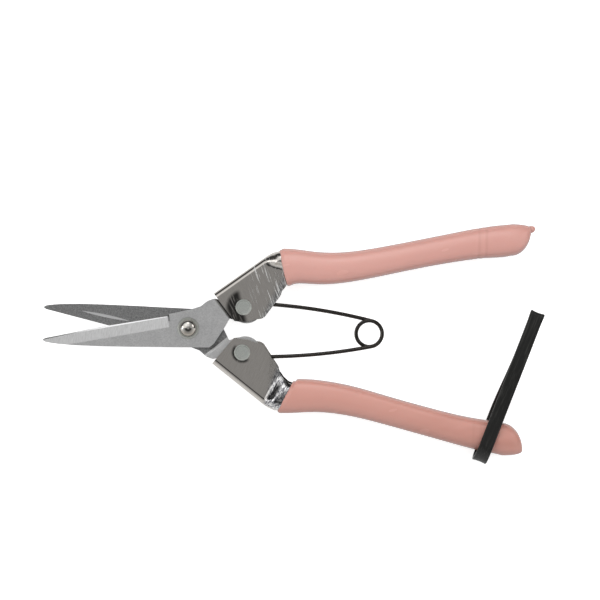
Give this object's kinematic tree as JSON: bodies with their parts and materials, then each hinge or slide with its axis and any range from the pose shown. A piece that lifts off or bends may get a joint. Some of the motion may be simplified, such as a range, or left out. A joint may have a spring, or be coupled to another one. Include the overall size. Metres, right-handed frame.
{
  "type": "floral snips",
  "caption": "Spring-loaded floral snips with crossed pointed blades, folded sheet levers, dipped grips, a wire spring and a rubber keeper strap.",
  "frame": {"origin": "on the main pivot's axis, in the plane where the two blades slide past each other, with the snips open", "axes": "+X from the pivot towards the grips, along the line that halves the open angle; +Y towards the upper grip; +Z out of the front blade, along the pivot's axis"},
  "size_m": [0.1933, 0.0932, 0.0156],
  "materials": {
    "blade_steel": "satin stainless, ground bevel",
    "pivot_steel": "polished",
    "frame_nickel": "nickel plated sheet, lightly scratched",
    "rivet_steel": "satin",
    "grip_pink": "glossy dipped plastic",
    "spring_wire": "black, semi-gloss",
    "strap_rubber": "matt black rubber"
  },
  "bodies": {
    "lower_lever": {"lower_frame": "frame_nickel", "rear_blade": "blade_steel", "lower_frame_rivet": "rivet_steel", "lower_grip": "grip_pink", "pivot_rivet": "pivot_steel", "pivot_washer_front": "pivot_steel", "pivot_washer_rear": "pivot_steel"},
    "upper_lever": {"upper_frame": "frame_nickel", "front_blade": "blade_steel", "upper_frame_rivet": "rivet_steel", "upper_grip": "grip_pink"},
    "spring_lower": {"spring_lower_leg": "spring_wire"},
    "spring_upper": {"spring_upper_leg": "spring_wire"},
    "strap": {"strap": "strap_rubber"}
  },
  "joints": [
    {"name": "main_pivot", "type": "hinge", "parent": "lower_lever", "child": "upper_lever", "pos_m": [0, 0, 0], "axis": [0, 0, -1], "range_deg": [0, 12.4], "stiffness_Nm_per_rad": 0.5, "springref_deg": -20.05},
    {"name": "spring_seat", "type": "hinge", "parent": "lower_lever", "child": "spring_lower", "pos_m": [0.0299, -0.01025, 0], "axis": [0, 0, -1], "range_deg": [0, 11]},
    {"name": "spring_coil", "type": "hinge", "parent": "spring_lower", "child": "spring_upper", "pos_m": [0.0701, 0, 0], "axis": [0, 0, 1], "range_deg": [0, 9.5]},
    {"name": "strap_swing", "type": "hinge", "parent": "lower_lever", "child": "strap", "pos_m": [0.1177, -0.0385, 0], "axis": [0, 0, 1], "range_deg": [-20, 28]}
  ],
  "couplings": [
    {"joint": "spring_seat", "follows": "main_pivot", "ratio": 0.87405},
    {"joint": "spring_coil", "follows": "main_pivot", "ratio": 0.7481}
  ]
}
